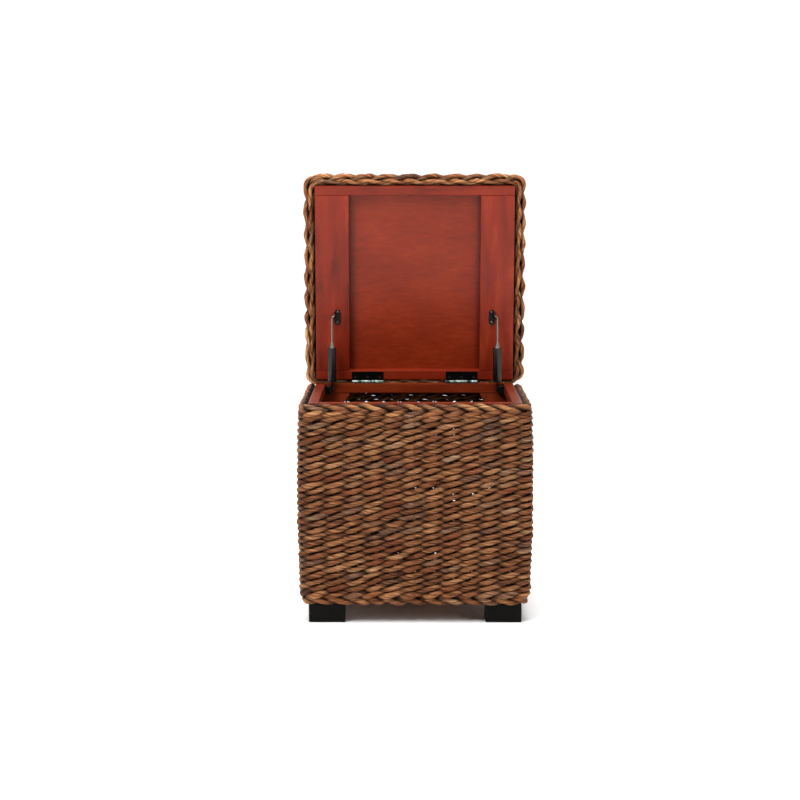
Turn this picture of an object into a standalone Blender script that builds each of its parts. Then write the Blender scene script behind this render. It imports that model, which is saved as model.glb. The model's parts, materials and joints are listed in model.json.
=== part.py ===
"""Woven storage ottoman with a hinged lid held open by two sprung stays.

Metres, +Z up, the front faces -Y, stored with the lid open against its stop.
Left and right are those of somebody standing in front of it.
"""

import math

import bmesh
import bpy
from mathutils import Matrix, Vector

for old in list(bpy.data.objects):
    bpy.data.objects.remove(old, do_unlink=True)

# ---- driving dimensions ---------------------------------------------------------------
GAP = 0.0003            # left between pieces that touch
HALF = 0.209            # half the side of the square wooden frame
RIM_Z = 0.4335          # top of the wooden rim
RAIL = 0.020            # rails and posts are RAIL square
FOOT = 0.0708           # side of a foot
FOOT_H = 0.038          # floor to the underside of the frame
BASE_T = 0.006          # bottom board
GUSSET_X, GUSSET_Z, GUSSET_T = 0.050, 0.070, 0.016
SKIN_TOP, SKIN_MID, SKIN_LOW = 0.0195, 0.0225, 0.0172      # woven skin outside the frame
BORDER_H = 0.0250       # height of the braided borders
BORDER_RISE = 0.0030    # top braid stands this far above the rim
REAR_DROP = 0.0100      # and is this far below it along the back, where the lid swings
CORNER_R = 0.024        # plan radius of the woven corners

OPEN_DEG = 80.0         # lid angle between shut and its open stop
AXIS_BACK = 0.0040                      # hinge axis behind the frame
LID_T = 0.020           # lid frame thickness
STILE = 0.071           # width of the lid's side pieces
LID_RAIL_F, LID_RAIL_R = 0.020, 0.0195
PANEL_T = 0.004
LID_OVER_S, LID_OVER_F, LID_OVER_R = 0.0215, 0.0215, 0.0140  # woven edge: sides, front, back
LID_WEAVE_T = 0.0118

HINGE_X = 0.100         # centre of a hinge from the middle
LEAF_L, LEAF_END, LEAF_T = 0.0670, 0.0218, 0.00135
LEAF_HALF_GAP = 0.00015                 # half the space between two shut leaves
BARREL_R, BORE_R, PIN_R = 0.00325, 0.00165, 0.0015
KNUCKLES = 5
SCREW_X, SCREW_U = 0.0260, 0.0102

STAY_IN = 0.0145        # centre line of a stay from the inside of the side rail
BLOCK_HALF, BLOCK_BACK = 0.0080, 0.0010 # half its block's depth, and the space behind the block
STAY_DOWN = 0.0138      # its lower pivot below the hinge axis
STAY_U, STAY_N = 0.1450, 0.0115         # its upper end: along the lid and off the axis plane
STUD_R, STUD_CLEAR = 0.0025, 0.00015
TONGUE_T, TONGUE_W = 0.0026, 0.0090
TUBE_R, TUBE_BORE = 0.0090, 0.0077
TUBE_FROM, TUBE_TO, PLUG = 0.0165, 0.0890, 0.0050
ROD_R = 0.0020
GUIDE_TIP = 0.0120      # guide cone that shows above the tube
PISTON_H, PISTON_IN = 0.0045, 0.0110
PLATE_W, PLATE_L, PLATE_T = 0.0132, 0.0320, 0.0022
PLATE_DOWN = 0.0042      # middle of the plate below the rod's hook, towards the hinge
EAR_T, EAR_W = 0.0020, 0.0140
HOOK_SIDE_GAP = 0.0005
SPRING_TURNS, WIRE_R = 9, 0.0006

# ---- values that follow from them -----------------------------------------------------
INNER = HALF - RAIL
WEAVE_TOP, WEAVE_MID, WEAVE_LOW = HALF + SKIN_TOP, HALF + SKIN_MID, HALF + SKIN_LOW
LID_HALF = HALF + LID_OVER_S
AXIS_UP = LEAF_HALF_GAP + LEAF_T + GAP    # hinge axis above the rim
AXIS_Y, AXIS_Z = HALF + AXIS_BACK, RIM_Z + AXIS_UP
STAY_X = INNER - STAY_IN
PISTON_R, CONE_R = TUBE_BORE - GAP, TUBE_BORE - 0.0017
STAY_FWD = AXIS_BACK + RAIL + BLOCK_BACK + BLOCK_HALF
OPEN = math.radians(OPEN_DEG)
LEAN = math.pi / 2 - OPEN
WOOD_U = AXIS_BACK                        # lid frame starts here, measured from the axis
LID_W = AXIS_UP                           # height of its underside above the axis
LID_END = WOOD_U + 2 * HALF
PANEL_W0 = LID_W + LID_T + GAP
LID_WEAVE_W0 = PANEL_W0 + PANEL_T + GAP
LID_TOP_W = LID_WEAVE_W0 + LID_WEAVE_T
LID_U0, LID_U1 = WOOD_U - LID_OVER_R, LID_END + LID_OVER_F
REACH_BACK = AXIS_Y + LID_TOP_W * math.cos(LEAN) - LID_U0 * math.sin(LEAN)
SHIFT_Y = (WEAVE_MID - REACH_BACK) / 2    # puts the stored box's middle over the origin

PIVOT_Y, PIVOT_Z = AXIS_Y - STAY_FWD, AXIS_Z - STAY_DOWN


def stay_vector(closing):
    """From the stay's lower pivot to its upper end, as (y, z), with the lid turned this far shut."""
    a = LEAN + closing
    y = -STAY_U * math.sin(a) - STAY_N * math.cos(a) + STAY_FWD
    z = STAY_U * math.cos(a) - STAY_N * math.sin(a) + STAY_DOWN
    return y, z


def tilt(v):
    return math.atan2(-v[0], v[1])


OPEN_V, SHUT_V = stay_vector(0.0), stay_vector(OPEN)
STAY_OPEN, STAY_SHUT = math.hypot(*OPEN_V), math.hypot(*SHUT_V)
TURN_RATIO = (tilt(SHUT_V) - tilt(OPEN_V)) / OPEN
SLIDE_RATIO = (STAY_SHUT - STAY_OPEN) / OPEN
print("axis", AXIS_Y + SHIFT_Y, AXIS_Z, "pivot", PIVOT_Y + SHIFT_Y, PIVOT_Z)
print("stay", STAY_OPEN, STAY_SHUT, "tilt", tilt(OPEN_V), "ratios", TURN_RATIO, SLIDE_RATIO)
print("spring from z", PIVOT_Z + (TUBE_FROM + PLUG + GAP) * math.cos(tilt(OPEN_V)), "shift", SHIFT_Y)


# ---- materials ------------------------------------------------------------------------
def material(name, rgb, roughness, metallic=0.0):
    m = bpy.data.materials.new(name)
    m.use_nodes = True
    shader = m.node_tree.nodes["Principled BSDF"]
    shader.inputs["Base Color"].default_value = (*rgb, 1.0)
    shader.inputs["Roughness"].default_value = roughness
    shader.inputs["Metallic"].default_value = metallic
    m.diffuse_color = (*rgb, 1.0)
    return m


RED_WOOD = ("red_stained_wood", (0.36, 0.055, 0.022), 0.35, 0.0)
BODY_WOOD = ("red_brown_wood", (0.30, 0.070, 0.025), 0.40, 0.0)
BLACK_WOOD = ("black_stained_wood", (0.012, 0.010, 0.009), 0.45, 0.0)
BOARD = ("plain_board", (0.30, 0.16, 0.08), 0.60, 0.0)
ROPE = ("twisted_leaf_rope", (0.30, 0.16, 0.07), 0.75, 0.0)
BRAID = ("braided_leaf_rope", (0.36, 0.20, 0.09), 0.75, 0.0)
BLACK_METAL = ("black_metal", (0.012, 0.012, 0.012), 0.35, 0.6)
GUNMETAL = ("gunmetal", (0.06, 0.06, 0.06), 0.30, 0.9)
STEEL = ("bright_steel", (0.55, 0.55, 0.56), 0.25, 1.0)
DARK_SCREW = ("dark_screw", (0.03, 0.03, 0.03), 0.35, 0.9)


# ---- helpers --------------------------------------------------------------------------
def empty(name, parent, place):
    e = bpy.data.objects.new(name, None)
    bpy.context.scene.collection.objects.link(e)
    e.parent = parent
    e.matrix_local = place
    return e


def put(name, bm, look, parent, smooth=False):
    bmesh.ops.recalc_face_normals(bm, faces=bm.faces)
    me = bpy.data.meshes.new(name)
    bm.to_mesh(me)
    bm.free()
    ob = bpy.data.objects.new(name, me)
    bpy.context.scene.collection.objects.link(ob)
    ob.parent = parent
    if look:
        me.materials.append(material(name + "_" + look[0], *look[1:]))
    if smooth:
        me.shade_smooth()
        me.set_sharp_from_angle(angle=math.radians(35))
    return ob


def add_box(bm, lo, hi):
    x0, y0, z0 = (min(a, b) for a, b in zip(lo, hi))
    x1, y1, z1 = (max(a, b) for a, b in zip(lo, hi))
    v = [bm.verts.new(p) for p in (
        (x0, y0, z0), (x1, y0, z0), (x1, y1, z0), (x0, y1, z0),
        (x0, y0, z1), (x1, y0, z1), (x1, y1, z1), (x0, y1, z1))]
    for f in ((0, 3, 2, 1), (4, 5, 6, 7), (0, 1, 5, 4), (1, 2, 6, 5), (2, 3, 7, 6), (3, 0, 4, 7)):
        bm.faces.new([v[i] for i in f])


def box(name, lo, hi, look, parent, bevel=0.0, segments=2):
    bm = bmesh.new()
    add_box(bm, lo, hi)
    ob = put(name, bm, look, parent)
    if bevel:
        m = ob.modifiers.new("eased_edges", "BEVEL")
        m.width, m.segments, m.limit_method = bevel, segments, "ANGLE"
    return ob


def add_lathe(bm, profile, steps, place=None, ring=False):
    """Turns (radius, height) points about Z. A ring's profile is a closed loop off the axis."""
    rows = []
    for r, z in profile:
        if r == 0.0:
            rows.append([bm.verts.new((0, 0, z))])
        else:
            rows.append([
                bm.verts.new((r * math.cos(t), r * math.sin(t), z))
                for t in (2 * math.pi * i / steps for i in range(steps))])
    pairs = list(zip(rows, rows[1:] + rows[:1])) if ring else list(zip(rows, rows[1:]))
    for a, b in pairs:
        for i in range(steps):
            j = (i + 1) % steps
            quad = [a[i % len(a)], a[j % len(a)], b[j % len(b)], b[i % len(b)]]
            face = [v for k, v in enumerate(quad) if v not in quad[:k]]
            if len(face) > 2:
                bm.faces.new(face)
    if place is not None:
        bmesh.ops.transform(bm, matrix=place, verts=[v for row in rows for v in row])


def add_sweep(bm, path, radius, sides):
    """A closed round bar along the points of path."""
    rows, up = [], Vector((1, 0, 0))
    for i, p in enumerate(path):
        a, b = path[max(i - 1, 0)], path[min(i + 1, len(path) - 1)]
        d = (b - a).normalized()
        if abs(d.dot(up)) > 0.95:
            up = Vector((0, 1, 0)) if abs(d.y) < 0.7 else Vector((0, 0, 1))
        u = (up - d * up.dot(d)).normalized()
        w = d.cross(u)
        up = u
        rows.append([
            bm.verts.new(p + radius * (math.cos(t) * u + math.sin(t) * w))
            for t in (2 * math.pi * k / sides for k in range(sides))])
    for a, b in zip(rows, rows[1:]):
        for k in range(sides):
            j = (k + 1) % sides
            bm.faces.new((a[k], a[j], b[j], b[k]))
    bm.faces.new(rows[0][::-1])
    bm.faces.new(rows[-1])


def add_prism(bm, outline, axis, lo, hi):
    """Extrudes a closed outline of (a, b) points along axis 0, 1 or 2."""
    def at(p, h):
        q = [p[0], p[1]]
        q.insert(axis, h)
        return bm.verts.new(q)
    low, high = [at(p, lo) for p in outline], [at(p, hi) for p in outline]
    bm.faces.new(low[::-1])
    bm.faces.new(high)
    for i in range(len(outline)):
        j = (i + 1) % len(outline)
        bm.faces.new((low[i], low[j], high[j], high[i]))


def combine(ob, operation, tool):
    """Boolean with a helper object that is not itself a piece."""
    tool.hide_render = True
    tool.display_type = "WIRE"
    m = ob.modifiers.new(tool.name, "BOOLEAN")
    m.operation, m.solver, m.object = operation, "EXACT", tool


def cutter(name, bm, parent):
    return put("cut_" + name, bm, None, parent)


def rounded(x0, x1, y0, y1, radius, steps=6):
    """Corner points of a rounded rectangle, anticlockwise."""
    out = []
    for cx, cy, start in ((x1 - radius, y1 - radius, 0), (x0 + radius, y1 - radius, 90),
                          (x0 + radius, y0 + radius, 180), (x1 - radius, y0 + radius, 270)):
        for i in range(steps + 1):
            t = math.radians(start + 90.0 * i / steps)
            out.append((cx + radius * math.cos(t), cy + radius * math.sin(t)))
    return out


def woven_ring(name, levels, hole, look, parent):
    """A ring with rounded corners outside and a square hole. levels: (z, x0, x1, y0, y1, radius)."""
    bm = bmesh.new()
    outer = [[bm.verts.new((x, y, z)) for x, y in rounded(x0, x1, y0, y1, r)]
             for z, x0, x1, y0, y1, r in levels]
    hx0, hx1, hy0, hy1 = hole
    corners = ((hx1, hy1), (hx0, hy1), (hx0, hy0), (hx1, hy0))
    count = len(outer[0])
    per = count // 4
    low = [bm.verts.new((x, y, levels[0][0])) for x, y in corners]
    high = [bm.verts.new((x, y, levels[-1][0])) for x, y in corners]
    for a, b in zip(outer, outer[1:]):
        for i in range(count):
            j = (i + 1) % count
            bm.faces.new((a[i], a[j], b[j], b[i]))
    for c in range(4):
        d = (c + 1) % 4
        bm.faces.new((low[d], low[c], high[c], high[d]))
        for edge, hole_row in ((outer[0], low), (outer[-1], high)):
            for i in range(per - 1):
                k = c * per + i
                bm.faces.new((edge[k], edge[k + 1], hole_row[c]))
            k = c * per + per - 1
            bm.faces.new((edge[k], edge[(k + 1) % count], hole_row[d], hole_row[c]))
    return put(name, bm, look, parent)


SIDES = (("left", -1.0), ("right", 1.0))
ENDS = (("front", -1.0), ("rear", 1.0))
root = empty("assembly", None, Matrix.Translation((0.0, SHIFT_Y, 0.0)))

# ---- feet, posts and rails ------------------------------------------------------------
for end, sy in ENDS:
    for side, sx in SIDES:
        box(f"foot_{end}_{side}", (sx * HALF, sy * HALF, 0.0),
            (sx * (HALF - FOOT), sy * (HALF - FOOT), FOOT_H - GAP), BLACK_WOOD, root, 0.0015)
        box(f"post_{end}_{side}", (sx * HALF, sy * HALF, FOOT_H),
            (sx * INNER, sy * INNER, RIM_Z - RAIL - GAP), BODY_WOOD, root, 0.0010)
        bm = bmesh.new()
        top = RIM_Z - RAIL - GAP
        x0, x1 = sx * (INNER - GAP), sx * (INNER - GUSSET_X)
        nose = 0.004
        add_prism(bm, ((x0, top), (x1, top), (x1, top - nose), (x0 - sx * nose, top - GUSSET_Z),
                       (x0, top - GUSSET_Z)), 1,
                  sy * (INNER + 0.001), sy * (INNER + 0.001 + GUSSET_T))
        put(f"gusset_{end}_{side}", bm, BODY_WOOD, root)

for end, sy in ENDS:
    box(f"top_rail_{end}", (-(INNER - GAP), sy * HALF, RIM_Z - RAIL),
        (INNER - GAP, sy * INNER, RIM_Z), BODY_WOOD, root, 0.0012)
    box(f"bottom_rail_{end}", (-(INNER - GAP), sy * HALF, FOOT_H),
        (INNER - GAP, sy * INNER, FOOT_H + RAIL), BODY_WOOD, root, 0.0010)
for side, sx in SIDES:
    box(f"top_rail_{side}", (sx * HALF, -HALF, RIM_Z - RAIL),
        (sx * INNER, HALF, RIM_Z), BODY_WOOD, root, 0.0012)
    box(f"bottom_rail_{side}", (sx * HALF, -(INNER - GAP), FOOT_H),
        (sx * INNER, INNER - GAP, FOOT_H + RAIL), BODY_WOOD, root, 0.0010)

# bottom board, notched round the posts
e, n = HALF - 0.0005, INNER - GAP
bm = bmesh.new()
add_prism(bm, ((n, -e), (n, -n), (e, -n), (e, n), (n, n), (n, e), (-n, e), (-n, n),
               (-e, n), (-e, -n), (-n, -n), (-n, -e)), 2,
          FOOT_H + RAIL + GAP, FOOT_H + RAIL + GAP + BASE_T)
put("base_board", bm, BOARD, root)

# ---- woven skin of the body -----------------------------------------------------------
hole = (-(HALF + GAP), HALF + GAP, -(HALF + GAP), HALF + GAP)


def level(z, half, r=CORNER_R):
    return z, -half, half, -half, half, r


low_z, low_top = FOOT_H - 0.001, FOOT_H - 0.001 + BORDER_H
top_z, top_top = RIM_Z - BORDER_H + BORDER_RISE, RIM_Z + BORDER_RISE
woven_ring("border_bottom", [
    level(low_z, WEAVE_LOW - 0.0110, 0.016), level(low_z + 0.0030, WEAVE_LOW - 0.0060, 0.020),
    level(low_z + 0.0090, WEAVE_LOW - 0.0020), level(low_top, WEAVE_LOW)], hole, BRAID, root)
mid = (low_top + top_z) / 2
woven_ring("body_weave", [
    level(low_top + GAP, WEAVE_LOW), level((low_top + mid) / 2, WEAVE_MID - 0.0012),
    level(mid, WEAVE_MID), level((mid + top_z) / 2, WEAVE_MID - 0.0006),
    level(top_z - GAP, WEAVE_TOP)], hole, ROPE, root)
border_top = woven_ring("border_top", [
    level(top_z, WEAVE_TOP), level(top_top - 0.0070, WEAVE_TOP - 0.0003),
    level(top_top - 0.0020, WEAVE_TOP - 0.0030, 0.021), level(top_top, WEAVE_TOP - 0.0070, 0.018)],
    hole, BRAID, root)
bm = bmesh.new()
add_box(bm, (-0.30, HALF - 0.001, RIM_Z - REAR_DROP), (0.30, 0.35, RIM_Z + 0.05))
combine(border_top, "DIFFERENCE", cutter("rear_drop", bm, root))

# ---- lid, drawn shut about the hinge axis and then turned to its open stop ------------
axis = empty("lid_hinge", root,
             Matrix.Translation((0.0, AXIS_Y, AXIS_Z)) @ Matrix.Rotation(-OPEN, 4, "X"))


def lid_box(name, x0, x1, u0, u1, w0, w1, look, bevel=0.0):
    """A block of the lid: across, along from the hinge axis, and up from it when shut."""
    return box(name, (x0, -u0, w0), (x1, -u1, w1), look, axis, bevel)


def lid_screw_place(x, u, w):
    """Local Z runs into the wood from a head at height w on the lid's underside."""
    return Matrix.Translation((x, -u, w))


lid_rear = lid_box("lid_rail_rear", -HALF, HALF, WOOD_U, WOOD_U + LID_RAIL_R, LID_W,
                   LID_W + LID_T, RED_WOOD, 0.0010)
lid_box("lid_rail_front", -HALF, HALF, LID_END - LID_RAIL_F, LID_END, LID_W, LID_W + LID_T,
        RED_WOOD, 0.0010)
stiles = {}
for side, sx in SIDES:
    stiles[side] = lid_box(f"lid_stile_{side}", sx * (HALF - STILE), sx * HALF,
                           WOOD_U + LID_RAIL_R + GAP, LID_END - LID_RAIL_F - GAP,
                           LID_W, LID_W + LID_T, RED_WOOD, 0.0010)
lid_box("lid_panel", -(HALF - GAP), HALF - GAP, WOOD_U, LID_END, PANEL_W0, PANEL_W0 + PANEL_T,
        RED_WOOD)


def lid_level(w, inset=0.0, r=CORNER_R):
    return (w, -LID_HALF + inset, LID_HALF - inset, -LID_U1 + inset, -LID_U0 - inset, r)


lid_border = woven_ring("lid_border", [
    lid_level(LID_W, 0.0030, 0.021), lid_level(LID_W + 0.0040), lid_level(LID_WEAVE_W0 - GAP)],
    (-(HALF + GAP), HALF + GAP, -(LID_END + GAP), -(WOOD_U - GAP)), BRAID, axis)
bm = bmesh.new()
for side, sx in SIDES:
    half = LEAF_L / 2 + 0.0015
    add_box(bm, (sx * HINGE_X - half, -0.006, -0.010),
            (sx * HINGE_X + half, 0.0060, BARREL_R + 0.0012))
combine(lid_border, "DIFFERENCE", cutter("barrel_notch", bm, axis))

bm = bmesh.new()
rows = []
for w, inset, r in ((LID_WEAVE_W0, 0.0, CORNER_R), (LID_WEAVE_W0 + 0.0060, 0.0, CORNER_R),
                    (LID_TOP_W - 0.0022, 0.0030, 0.022), (LID_TOP_W, 0.0090, 0.018)):
    z, x0, x1, y0, y1, r = lid_level(w, inset, r)
    rows.append([bm.verts.new((x, y, z)) for x, y in rounded(x0, x1, y0, y1, r)])
for a, b in zip(rows, rows[1:]):
    for i in range(len(a)):
        j = (i + 1) % len(a)
        bm.faces.new((a[i], a[j], b[j], b[i]))
bm.faces.new(rows[0][::-1])
bm.faces.new(rows[-1])
put("lid_weave", bm, ROPE, axis)

# ---- hinges ---------------------------------------------------------------------------
along_x = Matrix.Rotation(math.pi / 2, 4, "Y")
KNUCKLE_L = LEAF_L / KNUCKLES
LEAF_U = BARREL_R + 0.0005


def leaf(name, centre, sign, own, parent, place_y, place_z):
    """A hinge leaf with its knuckles. sign: +1 lies above the axis plane, -1 below it."""
    w0, w1 = sorted((sign * LEAF_HALF_GAP, sign * (LEAF_HALF_GAP + LEAF_T)))
    bm = bmesh.new()
    add_box(bm, (centre - LEAF_L / 2, place_y - LEAF_U, place_z + w0),
            (centre + LEAF_L / 2, place_y - LEAF_END, place_z + w1))
    ob = put(name, bm, BLACK_METAL, parent)
    bm = bmesh.new()
    for k in own:
        x0 = centre - LEAF_L / 2 + k * KNUCKLE_L + (0.0 if k == 0 else GAP / 2)
        x1 = centre - LEAF_L / 2 + (k + 1) * KNUCKLE_L - (0.0 if k == KNUCKLES - 1 else GAP / 2)
        add_lathe(bm, ((BORE_R, x0), (BARREL_R, x0), (BARREL_R, x1), (BORE_R, x1)), 28,
                  Matrix.Translation((0, place_y, place_z)) @ along_x, ring=True)
    combine(ob, "UNION", cutter(name + "_knuckles", bm, parent))
    bm = bmesh.new()
    for k in own:
        x0 = centre - LEAF_L / 2 + k * KNUCKLE_L + 0.0006
        x1 = x0 + KNUCKLE_L - 0.0012
        add_box(bm, (x0, place_y - LEAF_U - 0.0010, place_z + w0 + 0.00002 * sign),
                (x1, place_y - 0.0022, place_z + w1 - 0.00002 * sign))
    combine(ob, "UNION", cutter(name + "_tabs", bm, parent))
    bm = bmesh.new()
    for i in (-1, 0, 1):
        face = place_z + sign * LEAF_HALF_GAP
        turn = Matrix.Identity(4) if sign > 0 else Matrix.Rotation(math.pi, 4, "X")
        place = Matrix.Translation((centre + i * SCREW_X, place_y - SCREW_U, face)) @ turn
        add_lathe(bm, ((0, -0.0006), (0.0034, -0.0006), (0.0034, 0.0002), (0.00185, LEAF_T + GAP / 2),
                       (0.00185, 0.0030), (0, 0.0030)), 20, place)
    combine(ob, "DIFFERENCE", cutter(name + "_screw_holes", bm, parent))
    ob.data.shade_smooth()
    ob.data.set_sharp_from_angle(angle=math.radians(35))
    return ob


def slotted(ob, name, place, parent, span=0.0036):
    """A cross recess in a screw head."""
    bm = bmesh.new()
    a, b = span / 2, 0.0004
    add_prism(bm, ((a, -b), (a, b), (b, b), (b, a), (-b, a), (-b, b), (-a, b), (-a, -b),
                   (-b, -b), (-b, -a), (b, -a), (b, -b)), 2, -0.0008, 0.0006)
    bmesh.ops.transform(bm, matrix=place, verts=bm.verts)
    combine(ob, "DIFFERENCE", cutter(name + "_recess", bm, parent))


wood_holes = bmesh.new()
for side, sx in SIDES:
    centre = sx * HINGE_X
    leaf(f"hinge_leaf_lower_{side}", centre, -1, (0, 2, 4), root, AXIS_Y, AXIS_Z)
    leaf(f"hinge_leaf_upper_{side}", centre, +1, (1, 3), axis, 0.0, 0.0)
    bm = bmesh.new()
    half = LEAF_L / 2 + 0.0006
    add_lathe(bm, ((0, -half), (PIN_R * 0.7, -half), (PIN_R, -half + 0.0005),
                   (PIN_R, half - 0.0005), (PIN_R * 0.7, half), (0, half)), 24,
              Matrix.Translation((centre, AXIS_Y, AXIS_Z)) @ along_x)
    put(f"hinge_pin_{side}", bm, STEEL, root, True)
    for i, word in ((-1, "a"), (0, "b"), (1, "c")):
        place = lid_screw_place(centre + i * SCREW_X, SCREW_U, LEAF_HALF_GAP)
        bm = bmesh.new()
        add_lathe(bm, ((0, 0), (0.0031, 0), (0.0031, 0.00015), (0.0016, LEAF_T),
                       (0.0016, 0.0110), (0.0007, 0.0130), (0, 0.0130)), 20, place)
        name = f"hinge_screw_{side}_{word}"
        ob = put(name, bm, DARK_SCREW, axis, True)
        slotted(ob, name, place, axis)
        add_lathe(wood_holes, ((0, 0), (0.0019, 0), (0.0019, 0.0136), (0, 0.0136)), 16, place)
combine(lid_rear, "DIFFERENCE", cutter("lid_rail_screw_holes", wood_holes, axis))

# ---- stays: block on the rail, sprung tube, sliding rod, bracket on the lid -----------
stay_open = tilt(OPEN_V)
for side, sx in SIDES:
    # everything of one stay turns about this pivot; local Z runs up the stay
    pivot = empty(f"{side}_stay_pivot", root, Matrix.Translation(
        (sx * STAY_X, PIVOT_Y, PIVOT_Z)) @ Matrix.Rotation(stay_open, 4, "X"))
    block_in = STAY_X + TONGUE_T / 2 + GAP + 0.0001
    name = f"{side}_stay_block"
    ob = box(name, (sx * block_in, PIVOT_Y - BLOCK_HALF, PIVOT_Z - 0.0090),
             (sx * (INNER - GAP), PIVOT_Y + BLOCK_HALF, PIVOT_Z + 0.0085),
             BLACK_METAL, root, 0.0015)
    bm = bmesh.new()
    reach = block_in - (STAY_X - TONGUE_T / 2 - GAP)
    add_lathe(bm, ((0, -0.0010), (STUD_R, -0.0010), (STUD_R, reach), (0.0042, reach),
                   (0.0042, reach + 0.0010), (0.0030, reach + 0.0016), (0, reach + 0.0016)), 28,
              Matrix.Translation((sx * block_in, PIVOT_Y, PIVOT_Z))
              @ Matrix.Rotation(-sx * math.pi / 2, 4, "Y"))
    combine(ob, "UNION", cutter(name + "_stud", bm, root))
    ob.data.shade_smooth()
    ob.data.set_sharp_from_angle(angle=math.radians(35))

    name = f"{side}_stay_tube"
    bm = bmesh.new()
    add_lathe(bm, ((0, TUBE_FROM), (TUBE_R - 0.0015, TUBE_FROM), (TUBE_R, TUBE_FROM + 0.0015),
                   (TUBE_R, TUBE_TO - 0.0004), (TUBE_R - 0.0004, TUBE_TO),
                   (TUBE_BORE + 0.0004, TUBE_TO), (TUBE_BORE, TUBE_TO - 0.0004),
                   (TUBE_BORE, TUBE_FROM + PLUG), (0, TUBE_FROM + PLUG)), 36)
    ob = put(name, bm, GUNMETAL, pivot, True)
    bm = bmesh.new()
    arc = [(TONGUE_W / 2 * math.cos(t), TONGUE_W / 2 * math.sin(t))
           for t in (math.pi + math.pi * i / 14 for i in range(15))]
    add_prism(bm, arc + [(TONGUE_W / 2, TUBE_FROM + 0.0030), (-TONGUE_W / 2, TUBE_FROM + 0.0030)],
              0, -TONGUE_T / 2, TONGUE_T / 2)
    combine(ob, "UNION", cutter(name + "_tongue", bm, pivot))
    bm = bmesh.new()
    add_lathe(bm, ((0, -0.004), (STUD_R + STUD_CLEAR, -0.004), (STUD_R + STUD_CLEAR, 0.004),
                   (0, 0.004)), 28, along_x)
    combine(ob, "DIFFERENCE", cutter(name + "_eye", bm, pivot))

    # guide cone and piston on the end of the rod
    piston = TUBE_TO - PISTON_IN
    tip = TUBE_TO + GUIDE_TIP
    bm = bmesh.new()
    add_lathe(bm, ((0, piston), (PISTON_R, piston), (PISTON_R, piston + PISTON_H),
                   (CONE_R, piston + PISTON_H + 0.0004), (CONE_R, TUBE_TO), (0.0031, tip),
                   (ROD_R + GAP, tip), (ROD_R + GAP, tip - 0.0100), (0, tip - 0.0100)), 28)
    put(f"{side}_stay_guide", bm, STEEL, pivot, True)

    # rod with its end hooked towards the bracket
    bracket_out = STAY_X - 0.0045
    hook = STAY_X - bracket_out - HOOK_SIDE_GAP
    bend = 0.0035
    path = [Vector((0, 0, z)) for z in (tip - 0.0097, tip, (tip + STAY_OPEN) / 2)]
    path += [Vector((-sx * bend * (1 - math.cos(t)), 0, STAY_OPEN - bend + bend * math.sin(t)))
             for t in (math.pi / 2 * i / 6 for i in range(7))]
    path.append(Vector((-sx * hook, 0, STAY_OPEN)))
    bm = bmesh.new()
    add_sweep(bm, path, ROD_R, 16)
    put(f"{side}_stay_rod", bm, STEEL, pivot, True)

    # compression spring between the tube's plug and the piston
    z0, z1 = TUBE_FROM + PLUG + WIRE_R + GAP, piston - WIRE_R - GAP
    coil = TUBE_BORE - WIRE_R - 0.0005
    turns = SPRING_TURNS * 14
    path = [Vector((coil * math.cos(2 * math.pi * i / 14), coil * math.sin(2 * math.pi * i / 14),
                    z0 + (z1 - z0) * i / turns)) for i in range(turns + 1)]
    bm = bmesh.new()
    add_sweep(bm, path, WIRE_R, 6)
    put(f"{side}_stay_spring", bm, STEEL, pivot, True)

    # bracket: a foot screwed to the stile and an ear beside the rod's hook
    name = f"{side}_stay_bracket"
    x_out, x_in = sx * bracket_out, sx * (bracket_out - PLATE_W)
    face = LID_W - GAP
    plate_u = STAY_U - PLATE_DOWN
    bm = bmesh.new()
    add_prism(bm, [(x, y - plate_u) for x, y in rounded(
        min(x_in, x_out), max(x_in, x_out), -PLATE_L / 2, PLATE_L / 2, 0.0062, 6)],
        2, face - PLATE_T, face)
    ob = put(name, bm, BLACK_METAL, axis)
    bm = bmesh.new()
    arc = [(-STAY_U + EAR_W / 2 * math.cos(t), -STAY_N + EAR_W / 2 * math.sin(t))
           for t in (math.pi + math.pi * i / 12 for i in range(13))]
    add_prism(bm, arc + [(-STAY_U + EAR_W / 2, face - 0.0008), (-STAY_U - EAR_W / 2, face - 0.0008)],
              0, min(x_out, x_out - sx * EAR_T), max(x_out, x_out - sx * EAR_T))
    combine(ob, "UNION", cutter(name + "_ear", bm, axis))
    bm = bmesh.new()
    mid_x = (x_in + x_out) / 2 - sx * 0.0008
    for du in (-0.0108, 0.0108):
        add_lathe(bm, ((0, -0.004), (0.0019, -0.004), (0.0019, 0.004), (0, 0.004)), 20,
                  Matrix.Translation((mid_x, -plate_u + du, face - PLATE_T / 2)))
    add_lathe(bm, ((0, -0.004), (ROD_R + 0.0004, -0.004), (ROD_R + 0.0004, 0.004), (0, 0.004)), 24,
              Matrix.Translation((x_out, -STAY_U, -STAY_N)) @ along_x)
    combine(ob, "DIFFERENCE", cutter(name + "_holes", bm, axis))

    holes = bmesh.new()
    for du, word in ((-0.0108, "a"), (0.0108, "b")):
        place = lid_screw_place(mid_x, plate_u - du, face - PLATE_T - GAP)
        bm = bmesh.new()
        add_lathe(bm, ((0, -0.0016), (0.0018, -0.0015), (0.0029, -0.0006), (0.0030, 0),
                       (0.0015, 0), (0.0015, 0.0125), (0.0007, 0.0145), (0, 0.0145)), 20, place)
        name = f"bracket_screw_{side}_{word}"
        ob = put(name, bm, DARK_SCREW, axis, True)
        slotted(ob, name, place @ Matrix.Translation((0, 0, -0.0013)), axis, 0.0032)
        add_lathe(holes, ((0, 0), (0.0018, 0), (0.0018, 0.0152), (0, 0.0152)), 16, place)
    combine(stiles[side], "DIFFERENCE", cutter(f"stile_screw_holes_{side}", holes, axis))
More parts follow.
